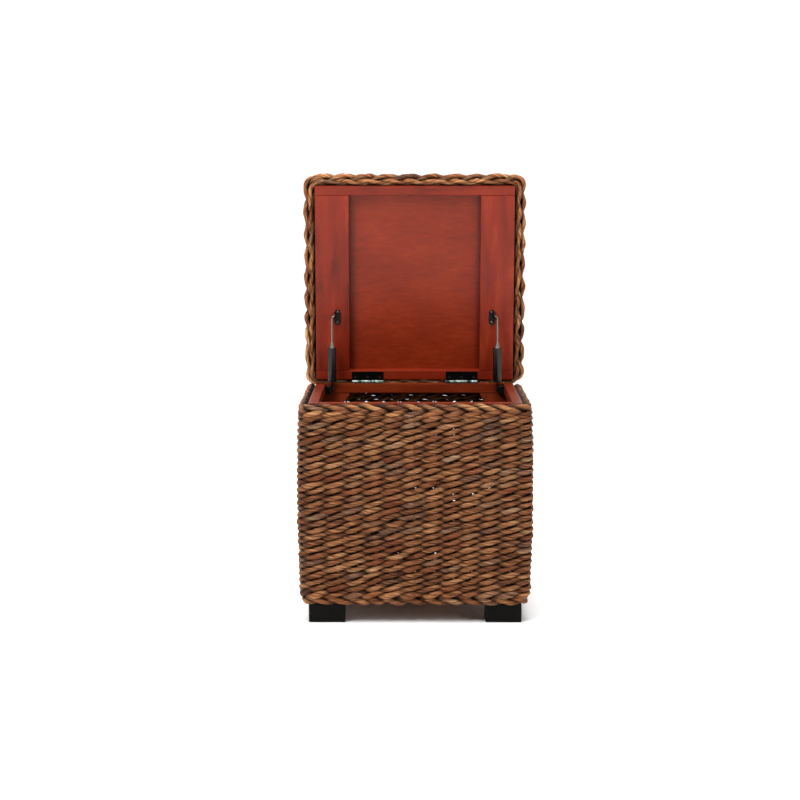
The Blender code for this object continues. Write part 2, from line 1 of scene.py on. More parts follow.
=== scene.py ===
"""Looks of a rope-woven storage ottoman with an open wooden lid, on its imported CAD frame.

Metres, +Z up, the front faces -Y. The weave is made of real twisted strands: every row is two
strands that twist round each other and round upright stakes. Wood, metal and screws keep
their CAD shapes and get procedural finishes.
"""

import json
import math
import random

import bmesh
import bpy
import numpy as np
from mathutils import Matrix, Vector, noise


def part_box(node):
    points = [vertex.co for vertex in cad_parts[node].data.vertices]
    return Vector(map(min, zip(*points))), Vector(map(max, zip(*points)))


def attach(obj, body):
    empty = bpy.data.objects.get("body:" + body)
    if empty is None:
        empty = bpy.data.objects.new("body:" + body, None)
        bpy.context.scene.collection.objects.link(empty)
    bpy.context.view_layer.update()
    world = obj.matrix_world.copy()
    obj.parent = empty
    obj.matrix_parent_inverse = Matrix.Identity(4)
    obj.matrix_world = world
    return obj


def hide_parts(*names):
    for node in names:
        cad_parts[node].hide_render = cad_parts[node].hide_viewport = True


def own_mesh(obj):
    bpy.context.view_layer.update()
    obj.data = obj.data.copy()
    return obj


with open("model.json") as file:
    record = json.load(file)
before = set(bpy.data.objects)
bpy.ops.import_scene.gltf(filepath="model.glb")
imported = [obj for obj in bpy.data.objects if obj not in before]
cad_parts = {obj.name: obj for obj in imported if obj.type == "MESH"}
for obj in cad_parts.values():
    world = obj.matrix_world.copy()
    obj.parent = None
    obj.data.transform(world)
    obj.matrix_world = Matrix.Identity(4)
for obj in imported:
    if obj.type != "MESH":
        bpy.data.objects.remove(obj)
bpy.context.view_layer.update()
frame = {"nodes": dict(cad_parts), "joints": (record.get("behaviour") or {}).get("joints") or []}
NODES = frame["nodes"]
JOINTS = {j["name"]: j for j in frame["joints"]}

# ---- places taken from the frame ------------------------------------------------------
rim_low, rim_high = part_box("top_rail_left")
rail_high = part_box("top_rail_right")[1]
RIM_Z = rim_high.z
HALF = rail_high.x                            # half the side of the wooden frame
MIDDLE_Y = (rim_low.y + rim_high.y) / 2
FRAME_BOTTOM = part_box("bottom_rail_front")[0].z
HINGE = Vector(JOINTS["lid_hinge"]["pos_m"])
OPEN_ANGLE = math.radians(JOINTS["lid_hinge"]["range_deg"][1])
LID_PLACE = Matrix.Translation(HINGE) @ Matrix.Rotation(-OPEN_ANGLE, 4, "X")
LID_WOOD_FROM = rim_high.y - HINGE.y          # back edge of the lid frame, from the axis
LID_DEPTH = 2 * HALF

# ---- rope sizes -----------------------------------------------------------------------
STITCH = 0.0388          # from one upright stake to the next
STITCH_SHIFT = 0.0138    # where the first stitch starts, right of the middle
ROPE_R = 0.00485         # body strand
ROPE_SWING = 0.0054      # how far a strand swings in and out round the stakes
ROPE_LIFT = 0.0039       # and up and down
ROW_PITCH = 0.0128
SKIN_TOP, SKIN_MID, SKIN_LOW, SKIN_FOOT = 0.0195, 0.0228, 0.0172, 0.0125
TWIST = 0.066            # length in which a strand turns once about itself
STEP = 0.0040            # spacing of a strand's points
PLY = 12                 # points round a strand
LOBE = 0.08              # how far its three plies bulge, as a share of its radius
CREVICE_FROM, CREVICE_TO = 0.17, 0.80    # how proud a surface must stand to escape the painted crevice shade
INNER_UNSHADED_SHARE = 0.75                      # painted shade: surfaces facing the inside of the box keep at most this share of their unshaded colour


# ---- materials ------------------------------------------------------------------------
def linear(colour):
    """sRGB hex to the linear RGBA that shaders take."""
    values = [int(colour[i:i + 2], 16) / 255 for i in (1, 3, 5)]
    return [v / 12.92 if v <= 0.04045 else ((v + 0.055) / 1.055) ** 2.4 for v in values] + [1.0]


def add(tree, kind, settings=None, links=None, **attributes):
    """Adds a node, sets its inputs and attributes, and links other sockets into it."""
    made = tree.nodes.new(kind)
    for key, value in attributes.items():
        setattr(made, key, value)
    for key, value in (settings or {}).items():
        made.inputs[key].default_value = value
    for key, socket in (links or {}).items():
        tree.links.new(socket, made.inputs[key])
    return made


def finish_material(name, **shader):
    """A new material with its Principled shader and tree."""
    made = bpy.data.materials.new(name)
    made.use_nodes = True
    tree = made.node_tree
    principled = tree.nodes["Principled BSDF"]
    for key, value in shader.items():
        principled.inputs[key.replace("_", " ")].default_value = value
    return made, tree, principled


def ramp(tree, source, stops):
    """Colour from a value, by (position, hex) stops."""
    node = add(tree, "ShaderNodeValToRGB", links={"Fac": source})
    node.color_ramp.interpolation = "EASE"
    while len(node.color_ramp.elements) < len(stops):
        node.color_ramp.elements.new(0.5)
    for element, (place, colour) in zip(node.color_ramp.elements, stops):
        element.position = place
        element.color = linear(colour)
    return node.outputs["Color"]


def per_mm(mm):
    """Noise scale whose blotches are about this many millimetres across."""
    return 1000.0 / mm


def twisted_leaf_rope(name, stops):
    """Dried leaf twisted into rope: dry and half matt, with fine fibres winding along each
    strand. Each stitch has its own tone, a few are greyed or reddened, and crevices get painted
    shade, nearly black. The real fibres are finer than this: they are drawn coarse enough to
    show."""
    made, tree, principled = finish_material(name, Roughness=0.58, IOR=1.45)
    principled.inputs["Specular IOR Level"].default_value = 0.14
    fibre = add(tree, "ShaderNodeAttribute", attribute_name="fibre").outputs["Vector"]
    dye_and_shade = add(tree, "ShaderNodeSeparateXYZ", {}, {"Vector": add(
        tree, "ShaderNodeAttribute", attribute_name="dye_and_shade").outputs["Vector"]})
    tone, cast, crevice = dye_and_shade.outputs["X"], dye_and_shade.outputs["Y"], dye_and_shade.outputs["Z"]

    def along_fibre(length_mm, around, detail):
        # fibre.x runs along the strand in metres, y and z go round it
        placed = add(tree, "ShaderNodeMapping", {"Scale": (per_mm(length_mm), around, around)},
                     {"Vector": fibre}).outputs["Vector"]
        return add(tree, "ShaderNodeTexNoise", {"Scale": 1.0, "Detail": detail, "Roughness": 0.6},
                   {"Vector": placed}).outputs["Fac"]

    def blend(amount, first, second):
        made = add(tree, "ShaderNodeMix", {}, {"Factor": amount}, data_type="RGBA")
        for socket, value in (("A", first), ("B", second)):
            if isinstance(value, str):
                made.inputs[socket].default_value = linear(value)
            else:
                tree.links.new(value, made.inputs[socket])
        return made.outputs["Result"]

    streaks, hairs = along_fibre(36, 3.0, 4.0), along_fibre(60, 2.6, 5.0)
    share = add(tree, "ShaderNodeMath", {1: 0.45}, {0: tone}, operation="MULTIPLY").outputs[0]
    wide = add(tree, "ShaderNodeMapRange", {"From Min": 0.34, "From Max": 0.66},
               {"Value": streaks}).outputs["Result"]
    mixed = add(tree, "ShaderNodeMath", {1: 0.55}, {0: wide, 2: share},
                operation="MULTIPLY_ADD").outputs[0]
    tan = ramp(tree, mixed, stops)
    grey = add(tree, "ShaderNodeMapRange", {"From Min": 0.80, "From Max": 0.93, "To Max": 0.50},
               {"Value": cast}).outputs["Result"]
    red = add(tree, "ShaderNodeMapRange", {"From Min": 0.30, "From Max": 0.10, "To Max": 0.40},
              {"Value": cast}).outputs["Result"]
    greyed = ramp(tree, mixed, ((0.20, "#2B211A"), (0.50, "#57453A"), (0.85, "#7E6B57")))
    colour = blend(red, blend(grey, tan, greyed), "#62270F")
    # fine dark lines where the dry leaf creases, and painted shade in the groove between its
    # three plies
    crease = add(tree, "ShaderNodeMapRange", {"From Min": 0.47, "From Max": 0.36,
                                              "To Max": 0.62}, {"Value": hairs})
    colour = blend(crease.outputs["Result"], colour, "#1F0F06")
    # painted shade: darker where the three plies meet, deepest where the streaks are dark
    ply = add(tree, "ShaderNodeSeparateXYZ", {}, {"Vector": fibre})
    angle = add(tree, "ShaderNodeMath", {}, {0: ply.outputs["Z"], 1: ply.outputs["Y"]},
                operation="ARCTAN2").outputs[0]
    thrice = add(tree, "ShaderNodeMath", {1: 3.0}, {0: angle}, operation="MULTIPLY").outputs[0]
    lobe = add(tree, "ShaderNodeMath", {}, {0: thrice}, operation="COSINE").outputs[0]
    groove = add(tree, "ShaderNodeMapRange", {"From Min": -0.70, "From Max": -0.98},
                 {"Value": lobe}).outputs["Result"]
    deep = add(tree, "ShaderNodeMapRange", {"From Min": 0.56, "From Max": 0.42,
                                            "To Max": 0.66}, {"Value": streaks})
    groove = add(tree, "ShaderNodeMath", {}, {0: groove, 1: deep.outputs["Result"]},
                 operation="MULTIPLY").outputs[0]
    colour = blend(groove, colour, "#1F0F06")
    # painted shade: crevice darkens the colour towards near-black #150903 in the hollows between
    # strands and on the inside
    tree.links.new(blend(crevice, "#150903", colour), principled.inputs["Base Color"])
    bump = add(tree, "ShaderNodeBump", {"Strength": 1.0, "Distance": 0.0016}, {"Height": hairs})
    tree.links.new(bump.outputs["Normal"], principled.inputs["Normal"])
    return made


def lacquered_wood(name, stops, along, tilt=0.0, gloss=0.34, coat=0.06, band_mm=22,
                   grain_mm=170, shine=0.22, shaded_from=0.0):
    """Stained solid wood under satin lacquer: soft cloudy grain along the piece, short darker
    pores, and a thin clear film that takes a mild sheen on edges and glancing faces."""
    made, tree, principled = finish_material(name, Roughness=gloss, IOR=1.45)
    principled.inputs["Specular IOR Level"].default_value = shine
    principled.inputs["Coat Weight"].default_value = coat
    principled.inputs["Coat Roughness"].default_value = 0.20
    place = add(tree, "ShaderNodeTexCoord").outputs["Object"]
    turned = add(tree, "ShaderNodeMapping", {"Rotation": (tilt, 0.0, 0.0)}, {"Vector": place})

    def grain(across_mm, length_mm, detail, bend):
        scale = [per_mm(across_mm)] * 3
        scale[along] = per_mm(length_mm)
        stretched = add(tree, "ShaderNodeMapping", {"Scale": scale},
                        {"Vector": turned.outputs["Vector"]})
        return add(tree, "ShaderNodeTexNoise",
                   {"Scale": 1.0, "Detail": detail, "Roughness": 0.55, "Distortion": bend},
                   {"Vector": stretched.outputs["Vector"]}).outputs["Fac"]

    bands, pores, clouds = grain(band_mm, grain_mm, 4.0, 0.6), grain(1.3, 9, 3.0, 0.0), \
        grain(70, 110, 2.0, 0.3)
    part = add(tree, "ShaderNodeMath", {1: 0.34}, {0: clouds}, operation="MULTIPLY").outputs[0]
    part = add(tree, "ShaderNodeMath", {1: 0.44}, {0: bands, 2: part},
               operation="MULTIPLY_ADD").outputs[0]
    part = add(tree, "ShaderNodeMath", {1: 0.22}, {0: pores, 2: part},
               operation="MULTIPLY_ADD").outputs[0]
    colour = ramp(tree, part, stops)
    if shaded_from:
        # painted shade where a panel meets the pieces beside it: darker towards its left and
        # right edges
        x = add(tree, "ShaderNodeSeparateXYZ", {}, {"Vector": place}).outputs["X"]
        far = add(tree, "ShaderNodeMath", {}, {0: x}, operation="ABSOLUTE").outputs[0]
        deep = add(tree, "ShaderNodeMapRange",
                   {"From Min": shaded_from - 0.013, "From Max": shaded_from, "To Min": 1.0,
                    "To Max": 0.55}, {"Value": far}, interpolation_type="SMOOTHSTEP")
        colour = add(tree, "ShaderNodeVectorMath", {}, {0: colour, 1: deep.outputs["Result"]},
                     operation="MULTIPLY").outputs["Vector"]
    tree.links.new(colour, principled.inputs["Base Color"])
    rough = add(tree, "ShaderNodeMapRange", {"To Min": gloss - 0.06, "To Max": gloss + 0.12},
                {"Value": bands})
    tree.links.new(rough.outputs["Result"], principled.inputs["Roughness"])
    bump = add(tree, "ShaderNodeBump", {"Strength": 0.10, "Distance": 0.0004},
               {"Height": pores})
    tree.links.new(bump.outputs["Normal"], principled.inputs["Normal"])
    return made


def painted_metal(name, colour, worn, roughness, metallic, speck_mm=1.5, barrel=False):
    """Thin paint or plating on steel: even, with slight cloudiness and worn patches. A
    hinge barrel gets painted highlights: broken bands of pale greenish steel colour."""
    made, tree, principled = finish_material(name, Metallic=metallic)
    place = add(tree, "ShaderNodeTexCoord").outputs["Object"]
    cloud = add(tree, "ShaderNodeTexNoise",
                {"Scale": per_mm(speck_mm * 6), "Detail": 5.0, "Roughness": 0.7},
                {"Vector": place}).outputs["Fac"]
    paint = ramp(tree, cloud, ((0.30, colour), (0.62, colour), (0.80, worn)))
    if barrel:
        # painted highlight: on the barrel's round face, broken bands of pale greenish steel
        # colour stand in for the lamps' glints
        middle = add(tree, "ShaderNodeVectorMath", {1: (0.0, -HINGE.y, -HINGE.z)}, {0: place},
                     operation="ADD").outputs["Vector"]
        flat = add(tree, "ShaderNodeVectorMath", {1: (0.0, 1.0, 1.0)}, {0: middle},
                   operation="MULTIPLY").outputs["Vector"]
        away = add(tree, "ShaderNodeVectorMath", {}, {0: flat}, operation="LENGTH")
        on_barrel = add(tree, "ShaderNodeMapRange", {"From Min": 0.0036, "From Max": 0.0033},
                     {"Value": away.outputs["Value"]})
        glint_breaks = add(tree, "ShaderNodeTexNoise", {"Scale": per_mm(11), "Detail": 2.0},
                       {"Vector": add(tree, "ShaderNodeVectorMath", {1: (1.0, 0.0, 0.0)},
                                      {0: place}, operation="MULTIPLY").outputs["Vector"]})
        bright = add(tree, "ShaderNodeMapRange", {"From Min": 0.42, "From Max": 0.56},
                     {"Value": glint_breaks.outputs["Fac"]})
        amount = add(tree, "ShaderNodeMath", {}, {0: on_barrel.outputs["Result"],
                                                 1: bright.outputs["Result"]},
                     operation="MULTIPLY")
        barrel_glint = add(tree, "ShaderNodeMix", {},
                   {"Factor": amount.outputs[0], "A": paint}, data_type="RGBA")
        barrel_glint.inputs["B"].default_value = linear("#8FA094")
        paint = barrel_glint.outputs["Result"]
    tree.links.new(paint, principled.inputs["Base Color"])
    rough = add(tree, "ShaderNodeMapRange",
                {"To Min": roughness - 0.05, "To Max": roughness + 0.12}, {"Value": cloud})
    tree.links.new(rough.outputs["Result"], principled.inputs["Roughness"])
    bump = add(tree, "ShaderNodeBump", {"Strength": 0.15, "Distance": 0.0002},
               {"Height": cloud})
    tree.links.new(bump.outputs["Normal"], principled.inputs["Normal"])
    return made


BODY_ROPE = twisted_leaf_rope("twisted_dried_leaf_rope", (
    (0.16, "#2D1307"), (0.32, "#552E17"), (0.45, "#6F4226"), (0.58, "#825432"),
    (0.72, "#9C704B"), (0.88, "#B38B63")))
EDGE_ROPE = twisted_leaf_rope("braided_dried_leaf_rope", (
    (0.16, "#331608"), (0.32, "#5D341A"), (0.45, "#794728"), (0.58, "#8D5A35"),
    (0.72, "#A7754B"), (0.88, "#BE9061")))
LID_ROPE = twisted_leaf_rope("braided_lid_leaf_rope", (
    (0.16, "#411E0C"), (0.32, "#764323"), (0.45, "#995C35"), (0.58, "#B27648"),
    (0.72, "#D19866"), (0.88, "#EBB983")))
CHERRY = ((0.36, "#541505"), (0.46, "#6E1D09"), (0.54, "#79220D"), (0.64, "#882D13"))
PANEL = ((0.32, "#651906"), (0.45, "#75220A"), (0.55, "#7E270E"), (0.68, "#8A3012"))
RIM_RED = ((0.30, "#421205"), (0.45, "#5E1D09"), (0.58, "#6C270D"), (0.75, "#80371A"))
BLACKENED = ((0.30, "#060504"), (0.55, "#0A0907"), (0.80, "#100E0C"))
X_AXIS, Y_AXIS, Z_AXIS = 0, 1, 2
LID_LEAN = OPEN_ANGLE - math.pi / 2
WOODS = {
    "cherry_lacquer_upright": lacquered_wood("cherry_lacquer_upright", CHERRY, Z_AXIS, LID_LEAN),
    "cherry_lacquer_cross": lacquered_wood("cherry_lacquer_cross", CHERRY, X_AXIS),
    "cherry_panel": lacquered_wood("cherry_lacquer_panel", PANEL, X_AXIS, band_mm=6, grain_mm=26,
                                   shaded_from=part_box("lid_stile_right")[0].x),
    "rim_cross": lacquered_wood("red_brown_lacquer_cross", RIM_RED, X_AXIS, coat=0.0,
                                shine=0.12),
    "rim_side": lacquered_wood("red_brown_lacquer_side", RIM_RED, Y_AXIS),
    "rim_post": lacquered_wood("red_brown_lacquer_post", RIM_RED, Z_AXIS),
    "black_foot": lacquered_wood("black_stained_foot", BLACKENED, Z_AXIS, gloss=0.5, coat=0.0,
                                 shine=0.08),
    "board": lacquered_wood("plain_thin_board", ((0.3, "#6B4526"), (0.6, "#8A5E38"),
                                                 (0.8, "#9C7048")), X_AXIS, gloss=0.6, coat=0.0),
}
HINGE_BLACK = painted_metal("black_enamelled_steel", "#0C0D0C", "#2C2F2B", 0.30, 0.6)
HINGE_LEAF = painted_metal("black_hinge_with_painted_barrel_highlight", "#0C0D0C", "#2C2F2B", 0.28, 0.6,
                           barrel=True)
TUBE_GREY = painted_metal("gunmetal_plated_tube", "#3A3937", "#57554F", 0.20, 0.95)
ROD_STEEL = painted_metal("bright_drawn_steel", "#86817A", "#6A655E", 0.28, 1.0)
SCREW_DARK = painted_metal("blackened_screw_steel", "#4A4A46", "#77776F", 0.30, 0.9)


def dress(node, material):
    """Gives a kept CAD node its finish."""
    slots = NODES[node].data.materials
    slots.clear()
    slots.append(material)


for node in NODES:
    if node.startswith("foot_"):
        dress(node, WOODS["black_foot"])
    elif node.startswith(("post_", "gusset_")):
        dress(node, WOODS["rim_post"])
    elif node.startswith(("top_rail_", "bottom_rail_")):
        dress(node, WOODS["rim_cross" if node.endswith(("front", "rear")) else "rim_side"])
    elif node.startswith("lid_rail"):
        dress(node, WOODS["cherry_lacquer_cross"])
    elif node.startswith("lid_stile"):
        dress(node, WOODS["cherry_lacquer_upright"])
    elif node == "lid_panel":
        dress(node, WOODS["cherry_panel"])
    elif node == "base_board":
        dress(node, WOODS["board"])
    elif node.startswith("hinge_leaf"):
        dress(node, HINGE_LEAF)
    elif node.endswith(("_block", "_bracket")):
        dress(node, HINGE_BLACK)
    elif node.startswith(("hinge_screw", "bracket_screw")):
        dress(node, SCREW_DARK)
    elif node.endswith("_tube"):
        dress(node, TUBE_GREY)
    elif node.endswith(("_rod", "_guide", "_spring")) or node.startswith("hinge_pin"):
        dress(node, ROD_STEEL)


# ---- ropes ----------------------------------------------------------------------------
def strand_profile():
    """Cross-section of a strand: three soft lobes on a unit circle, scaled by its radii."""
    data = bpy.data.curves.new("strand_section", "CURVE")
    data.dimensions = "2D"
    line = data.splines.new("POLY")
    line.points.add(PLY - 1)
    line.use_cyclic_u = True
    for k, point in enumerate(line.points):
        turn = 2 * math.pi * k / PLY
        r = 1.0 + LOBE * math.cos(3 * turn)
        point.co = (r * math.cos(turn), r * math.sin(turn), 0.0, 1.0)
    section = bpy.data.objects.new("strand_section", data)
    bpy.context.scene.collection.objects.link(section)
    return section


SECTION = strand_profile()


def rope_piece(name, strands, material, place=None, twist_mode="Z_UP"):
    """One mesh from many strands, each a dictionary: points, radii, whether closed, full
    twists, how proud each point stands (-1 to 1) and which way is out."""
    data = bpy.data.curves.new(name, "CURVE")
    data.dimensions, data.twist_mode = "3D", twist_mode
    data.bevel_mode, data.bevel_object = "OBJECT", SECTION
    for strand in strands:
        line = data.splines.new("POLY")
        count = len(strand["points"])
        line.points.add(count - 1)
        line.use_cyclic_u = strand["closed"]
        for i, point in enumerate(line.points):
            point.co = (*strand["points"][i], 1.0)
            point.radius = strand["radii"][i]
            point.tilt = 2 * math.pi * round(strand["twists"]) * i / count
    source = bpy.data.objects.new(name + "_line", data)
    bpy.context.scene.collection.objects.link(source)
    depsgraph = bpy.context.evaluated_depsgraph_get()
    mesh = bpy.data.meshes.new_from_object(source.evaluated_get(depsgraph))
    bpy.data.objects.remove(source)
    mesh.name = name

    # rings of PLY points follow each other, strand after strand
    corners = np.empty(len(mesh.vertices) * 3)
    mesh.vertices.foreach_get("co", corners)
    corners = corners.reshape(-1, PLY, 3)
    turn = 2 * np.pi * np.arange(PLY) / PLY
    fibre, dye_and_shade = np.empty_like(corners), np.empty_like(corners)
    chance = random.Random(len(name) * 101 + len(strands))
    first = 0
    for strand in strands:
        points = np.array(strand["points"])
        rows = slice(first, first + len(points))
        first += len(points)
        steps = np.linalg.norm(np.diff(points, axis=0, prepend=points[-1:]), axis=1)
        fibre[rows, :, 0] = (np.cumsum(steps) + chance.uniform(0, 50))[:, None]
        fibre[rows, :, 1], fibre[rows, :, 2] = np.cos(turn), np.sin(turn)
        tones = [(chance.gauss(0.48, 0.16), chance.random()) for _ in range(len(points))]
        lots = np.array([tones[k % len(tones)] for k in strand["stitch"]])
        dye_and_shade[rows, :, :2] = lots[:, None, :]
        # painted crevice shade: surfaces that face away from out, or lie on a strand sunk behind
        # its partner, are darkened towards near-black; those facing inwards keep at most a fixed
        # share of their colour
        arm = corners[rows] - points[:, None, :]
        facing = (arm * np.array(strand["outs"])[:, None, :]).sum(axis=2)
        facing /= np.array(strand["radii"])[:, None]
        stand = 0.55 * facing + 0.45 * np.array(strand["proud"])[:, None]
        light = np.clip((np.abs(stand) - CREVICE_FROM) / (CREVICE_TO - CREVICE_FROM), 0.0, 1.0)
        light = light * light * (3 - 2 * light)
        dye_and_shade[rows, :, 2] = np.where(stand < 0.0, INNER_UNSHADED_SHARE * light, light)
    for key, values in (("fibre", fibre), ("dye_and_shade", dye_and_shade)):
        mesh.attributes.new(key, "FLOAT_VECTOR", "POINT")
        mesh.attributes[key].data.foreach_set("vector", values.ravel())
    if not all(strand["closed"] for strand in strands):
        shell = bmesh.new()
        shell.from_mesh(mesh)
        bmesh.ops.holes_fill(shell, edges=[e for e in shell.edges if e.is_boundary], sides=PLY)
        bmesh.ops.recalc_face_normals(shell, faces=shell.faces[:])
        shell.to_mesh(mesh)
        shell.free()
    if place is not None:
        mesh.transform(place)
    mesh.materials.clear()
    mesh.materials.append(material)
    mesh.shade_smooth()
    piece = bpy.data.objects.new(name, mesh)
    bpy.context.scene.collection.objects.link(piece)
    return piece


class Loop:
    """A rounded rectangle walked anticlockwise from the middle of its front side."""

    def __init__(self, half_x, front, back, corner):
        self.hx, self.front, self.back, self.r = half_x, front, back, corner
        depth = back - front
        self.legs = (half_x - corner, depth - 2 * corner, 2 * (half_x - corner),
                     depth - 2 * corner, half_x - corner)
        self.length = sum(self.legs) + 2 * math.pi * corner

    def at(self, s):
        """Point and outward direction at distance s."""
        s %= self.length
        quarter = math.pi * self.r / 2
        hx, r, f, b = self.hx, self.r, self.front, self.back
        corners = ((hx - r, f + r), (hx - r, b - r), (r - hx, b - r), (r - hx, f + r))
        starts = ((0.0, f), (hx, f + r), (hx - r, b), (-hx, b - r), (r - hx, f))
        heading = ((1, 0), (0, 1), (-1, 0), (0, -1), (1, 0))
        for i, leg in enumerate(self.legs):
            dx, dy = heading[i]
            if s <= leg:
                return starts[i][0] + dx * s, starts[i][1] + dy * s, dy, -dx
            s -= leg
            if s <= quarter:
                a = -math.pi / 2 + i * math.pi / 2 + s / r
                cx, cy = corners[i]
                return cx + r * math.cos(a), cy + r * math.sin(a), math.cos(a), math.sin(a)
            s -= quarter
        return starts[0][0], starts[0][1], 0.0, -1.0


def wobble(x, y, scale, seed):
    """Smooth irregularity over the surface, between -1 and 1 or so."""
    return noise.noise(Vector((x / scale, y / scale, seed)))


def twined_row(loop, stitches, z_of, lean, radius, swing, lift, row, shift=STITCH_SHIFT,
               shown=0.0):
    """Two strands twisting round each other. lean +1 rises to the right seen from outside.
    shown tips the side that stays clean of crevice shade upwards, or downwards if negative."""
    strands = []
    count = max(8, round(loop.length / STEP))
    for which in (0, 1):
        strand = {"points": [], "radii": [], "closed": True, "twists": lean * loop.length / TWIST,
                  "proud": [], "stitch": [], "outs": []}
        for i in range(count):
            s = loop.length * i / count
            x, y, nx, ny = loop.at(s)
            seed = row * 3.71 + which * 17.3
            phase = math.pi * (stitches * (s - shift) / loop.length + which)
            phase += 0.95 * wobble(x, y, 0.075, row * 3.71)
            out = swing * math.sin(phase) + 0.0012 * wobble(x, y, 0.03, seed + 1)
            z = z_of(x, y) - lean * lift * math.cos(phase)
            z += 0.0011 * wobble(x, y, 0.045, seed + 2) + 0.0010 * wobble(x, y, 0.16, row * 0.9)
            plump = 1.0 + 0.10 * math.sin(phase) + 0.27 * wobble(x, y, 0.032, seed + 5)
            plump *= thin_of(x, y, z)
            strand["points"].append((x + nx * out, y + ny * out, z))
            strand["radii"].append(radius * plump)
            strand["proud"].append(math.sin(phase) / (1 + abs(shown)))
            strand["stitch"].append(math.floor(phase / (2 * math.pi) + 0.25) % (stitches // 2))
            strand["outs"].append(Vector((nx, ny, shown)).normalized()[:])
        strands.append(strand)
    return strands


def rear_share(y):
    """0 in front and at the sides, 1 along the back of the body."""
    return min(1.0, max(0.0, (y - (MIDDLE_Y + HALF - 0.014)) / 0.014))


def sunk(z):
    """Height of a row: level, but along the back the top rows sink and crowd together, clear
    of the lid's edge."""
    drop = REAR_DIP * max(0.0, 1 - (RIM_Z - z) / 0.085)
    return lambda x, y: z - drop * rear_share(y)


def thin_of(x, y, z):
    """Strands are slighter along the top of the back, where daylight shows between them."""
    if abs(x) >= HALF:
        return 1.0
    high = max(0.0, 1 - abs(RIM_Z - 0.032 - z) / 0.034)
    return 1 - 0.24 * rear_share(y) * min(1.0, 2 * high)


def skin_outside(z):
    """How far the woven skin stands outside the frame at height z: slightly barrelled."""
    up = (z - FRAME_BOTTOM) / (RIM_Z - FRAME_BOTTOM)
    side = SKIN_LOW + (SKIN_TOP - SKIN_LOW) * up
    return side + (SKIN_MID - (SKIN_LOW + SKIN_TOP) / 2) * max(0.0, math.sin(math.pi * up))


def body_loop(outside, reach):
    """Centre line of a row whose outer face is that far outside the frame."""
    half = HALF + outside - reach
    return Loop(half, MIDDLE_Y - half, MIDDLE_Y + half, 0.0135)


STITCHES = 2 * round(body_loop(SKIN_MID, ROPE_R + ROPE_SWING).length / STITCH / 2)
REAR_DIP = RIM_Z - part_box("border_top")[1].z + 0.0130   # rows sink under the swinging lid


def level_row(z):
    return lambda x, y: z


def settle(piece, body, node):
    """The piece rides its body and stands for a plain CAD node, which it hides."""
    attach(piece, body)
    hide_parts(node)


# body rows, in bands
first_row = FRAME_BOTTOM + 0.0325
last_row = RIM_Z - 0.0300
ROWS = round((last_row - first_row) / ROW_PITCH) + 1
pitch = (last_row - first_row) / (ROWS - 1)
BANDS = 4
for band in range(BANDS):
    strands = []
    for row in range(band * ROWS // BANDS, (band + 1) * ROWS // BANDS):
        z = first_row + pitch * row
        loop = body_loop(skin_outside(z), ROPE_R + ROPE_SWING)
        strands += twined_row(loop, STITCHES, sunk(z), 1, ROPE_R, ROPE_SWING, ROPE_LIFT, row)
    piece = rope_piece(f"woven_rows_{band + 1}", strands, BODY_ROPE)
    settle(piece, "base", "body_weave")

# upright stakes that the rows twist round
strands = []
STAKE_R, STAKE_POINTS = 0.0021, 15
for i in range(STITCHES):
    share = (i + 0.5) / STITCHES
    points = []
    for k in range(STAKE_POINTS):
        up = k / (STAKE_POINTS - 1)
        z = FRAME_BOTTOM + 0.006 + (RIM_Z - 0.022 - FRAME_BOTTOM) * up
        loop = body_loop(skin_outside(z), ROPE_R + ROPE_SWING)
        x, y, nx, ny = loop.at(share * loop.length + STITCH_SHIFT)
        points.append((x, y, z))
    # proud -0.6: the stakes sit back between the rows and take the painted crevice shade
    strands.append({"points": points, "radii": [STAKE_R] * STAKE_POINTS, "closed": False,
                    "twists": 6, "proud": [-0.6] * STAKE_POINTS, "stitch": [0] * STAKE_POINTS,
                    "outs": [(nx, ny, 0.0)] * STAKE_POINTS})
piece = rope_piece("upright_stakes", strands, BODY_ROPE, twist_mode="MINIMUM")
settle(piece, "base", "body_weave")


# braided edges of the body
EDGE_R, EDGE_SWING, EDGE_LIFT = 0.0054, 0.0046, 0.0042
strands = []
for row, (below, lean, inset, shown) in enumerate(((0.0096, -1, 0.0016, 0.9),
                                                   (0.0202, 1, 0.0, 0.1))):
    loop = body_loop(SKIN_TOP - inset, EDGE_R + EDGE_SWING)
    strands += twined_row(loop, STITCHES, sunk(RIM_Z - below), lean, EDGE_R, EDGE_SWING,
                          EDGE_LIFT, 60 + row, shown=shown)
piece = rope_piece("braided_top_edge", strands, EDGE_ROPE)
settle(piece, "base", "border_top")

strands = []
for row, (above, lean, outside) in enumerate(((0.0068, -1, SKIN_FOOT), (0.0195, 1, SKIN_LOW))):
    loop = body_loop(outside, EDGE_R + 0.0040)
    strands += twined_row(loop, STITCHES, level_row(FRAME_BOTTOM + above), lean, EDGE_R + 0.0003,
                          0.0042, EDGE_LIFT, 70 + row, shown=-0.3 + 0.3 * row)
piece = rope_piece("braided_bottom_edge", strands, EDGE_ROPE)
settle(piece, "base", "border_bottom")

# ---- lid weave, drawn shut about the hinge axis and turned open with the lid ----------
LID_OVER_F, LID_OVER_R, LID_OVER_S = 0.0220, 0.0135, 0.0228
LID_FRONT = LID_WOOD_FROM - LID_DEPTH          # y of the lid frame's front edge, shut
LID_STITCH = 0.0465


def lid_loop(inside, corner):
    """Centre line this far inside the lid's outline, never closer to the wood at the back."""
    return Loop(HALF + LID_OVER_S - inside, LID_FRONT - LID_OVER_F + inside,
                LID_WOOD_FROM + LID_OVER_R - min(inside, 0.0086), corner)


def over_barrels(w, rise):
    """Height of a lid row: level, but it steps over the two hinge barrels at the back."""
    low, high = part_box("hinge_leaf_lower_right")

    def height(x, y):
        beside = abs(abs(x) - (low.x + high.x) / 2) - (high.x - low.x) / 2
        near = min(1.0, max(0.0, 1.6 - beside / 0.010))
        at_back = min(1.0, max(0.0, (y - LID_WOOD_FROM) / 0.004))
        return w + rise * near * at_back
    return height


